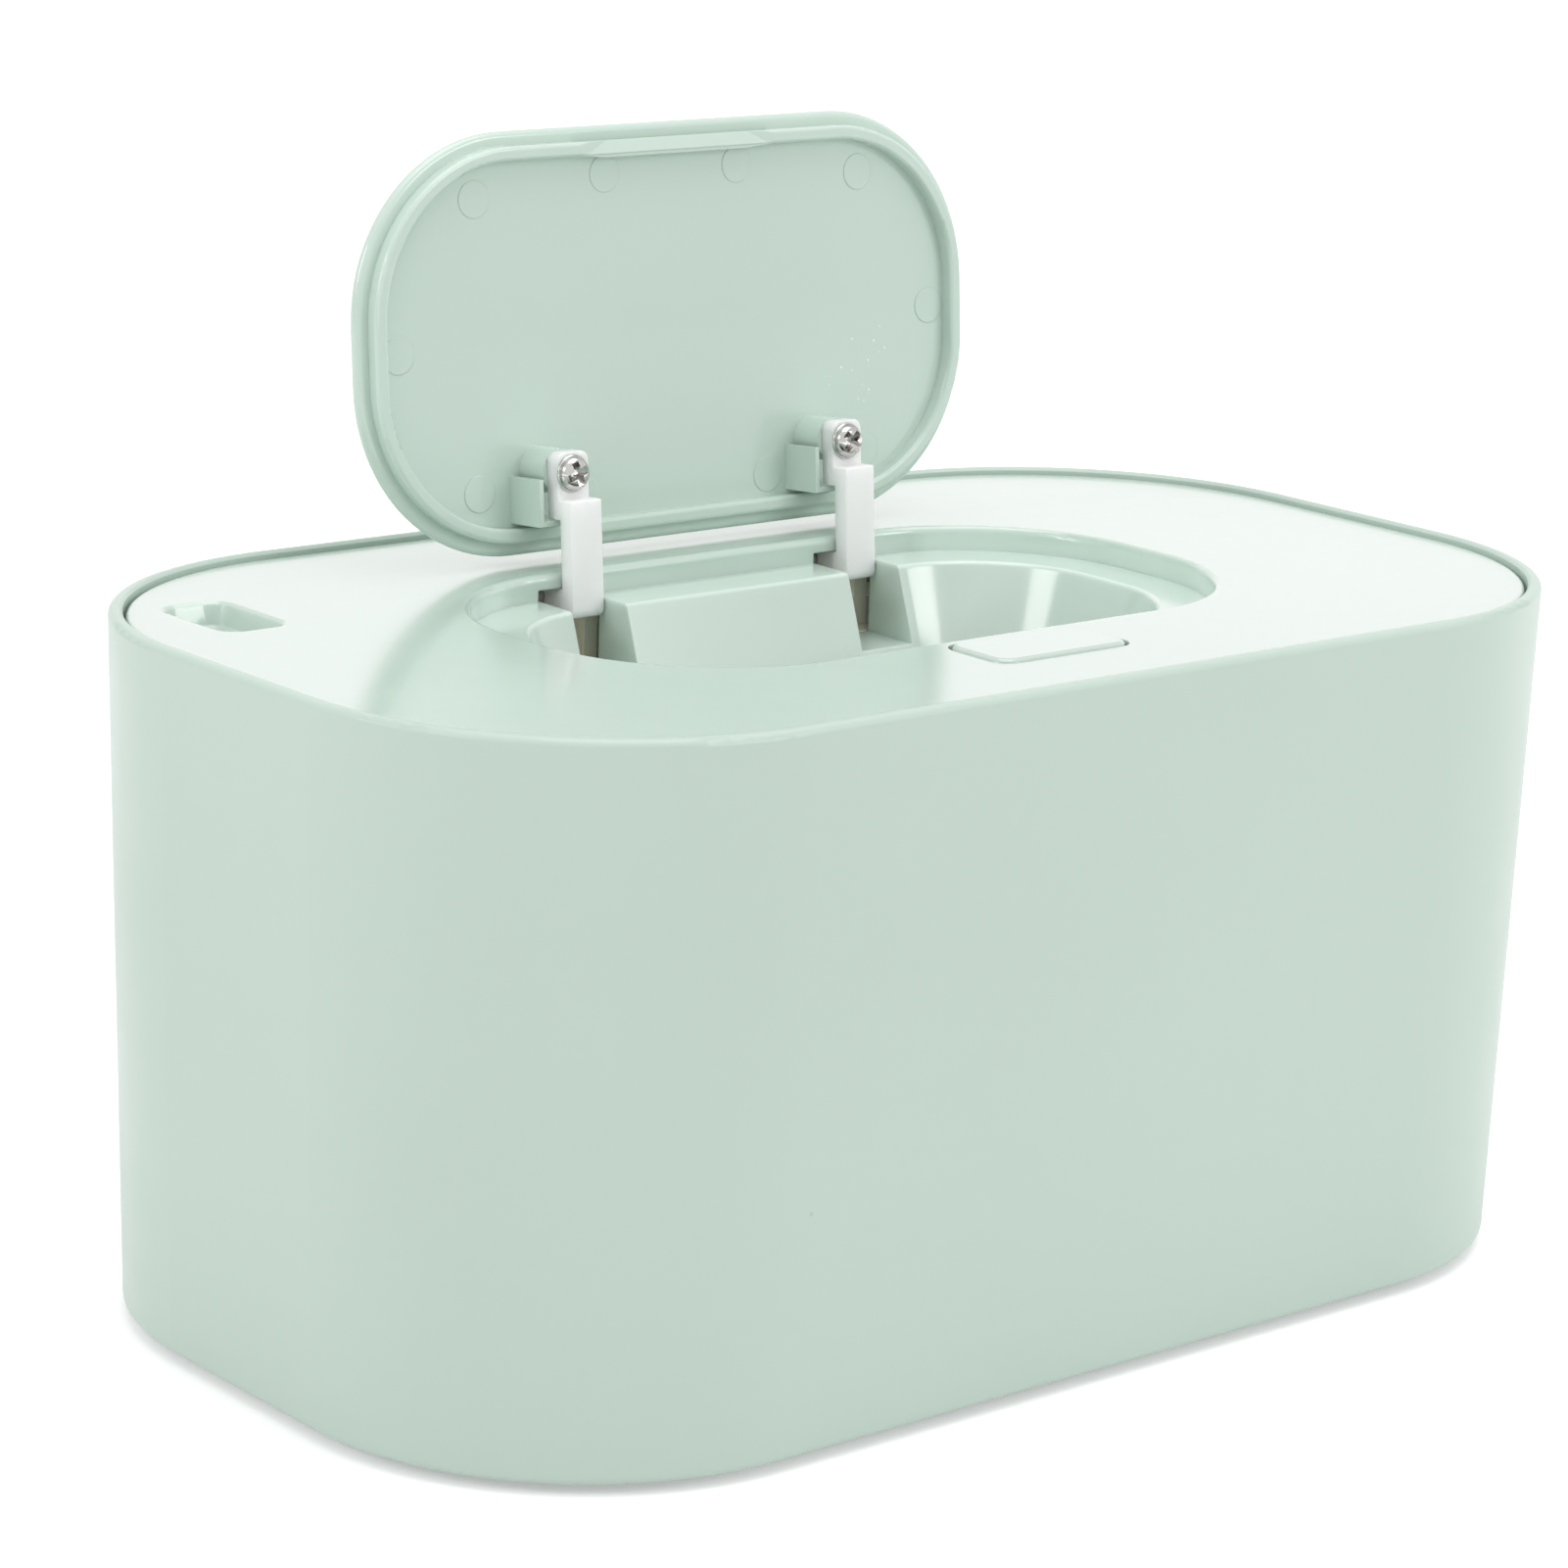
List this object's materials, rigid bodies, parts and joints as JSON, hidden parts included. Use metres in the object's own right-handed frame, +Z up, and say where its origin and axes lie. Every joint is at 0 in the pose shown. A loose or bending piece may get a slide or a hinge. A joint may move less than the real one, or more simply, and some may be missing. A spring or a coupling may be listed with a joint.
{
  "type": "baby wipe warmer",
  "caption": "Mint-green baby wipe warmer with rounded ends, its flip lid standing open on white hinge arms.",
  "frame": {"origin": "centre of the footprint on the surface that it stands on", "axes": "+X along the length to the right, -Y towards the button and the user, +Z up"},
  "size_m": [0.21, 0.126, 0.1627],
  "materials": {
    "shell_mint": "glossy moulded ABS",
    "cover_mint": "glossy moulded ABS",
    "lid_mint": "glossy moulded ABS",
    "button_mint": "glossy moulded ABS",
    "base_mint": "fine matt texture",
    "nylon_white": "satin, slightly translucent",
    "bracket_cream": "satin",
    "tub_white": "satin moulded PP",
    "latch_white": "satin",
    "tray_grey": "satin",
    "chrome": "polished",
    "steel": "plain",
    "seal_silicone": "soft matt",
    "feet_rubber": "matt",
    "film_amber": "polyimide film",
    "pad_felt": "ceramic felt",
    "board_green": "solder mask",
    "thermostat_black": "satin",
    "lead_insulation": "satin"
  },
  "bodies": {
    "housing": {"outer_shell": "shell_mint", "base_plate": "base_mint", "rubber_feet": "feet_rubber", "base_screws": "steel", "inner_tub": "tub_white", "heater_film": "film_amber", "insulation_pad": "pad_felt", "thermostat": "thermostat_black", "heater_leads": "lead_insulation", "control_board": "board_green", "board_screws": "steel", "power_socket": "steel"},
    "cover": {"top_cover": "cover_mint", "cover_seal": "seal_silicone", "hinge_bracket": "bracket_cream", "bracket_screws": "steel", "hinge_spring": "steel", "latch_tray": "tray_grey", "tray_screws": "steel", "button_spring": "steel"},
    "lid": {"flip_lid": "lid_mint", "hinge_arm_left": "nylon_white", "hinge_arm_right": "nylon_white", "hinge_pin": "steel", "arm_screws": "chrome"},
    "button": {"release_button": "button_mint"},
    "latch": {"latch_slider": "latch_white"}
  },
  "joints": [
    {"name": "cover_lift", "type": "slide", "parent": "housing", "child": "cover", "axis": [0, 0, 1], "range_m": [0, 0.04]},
    {"name": "lid_hinge", "type": "hinge", "parent": "cover", "child": "lid", "pos_m": [0, 0.036, 0.0963], "axis": [1, 0, 0], "range_deg": [0, 94.7], "stiffness_Nm_per_rad": 0.008, "springref_deg": -40.11, "deforming": ["hinge_spring"]},
    {"name": "button_press", "type": "slide", "parent": "cover", "child": "button", "axis": [0, 0, -1], "range_m": [0, 0.002], "stiffness_N_per_m": 900, "springref_m": -0.001, "deforming": ["button_spring"]},
    {"name": "latch_slide", "type": "slide", "parent": "cover", "child": "latch", "axis": [0, -1, 0], "range_m": [0, 0.002]}
  ],
  "couplings": [
    {"joint": "latch_slide", "follows": "button_press", "ratio": 1}
  ]
}
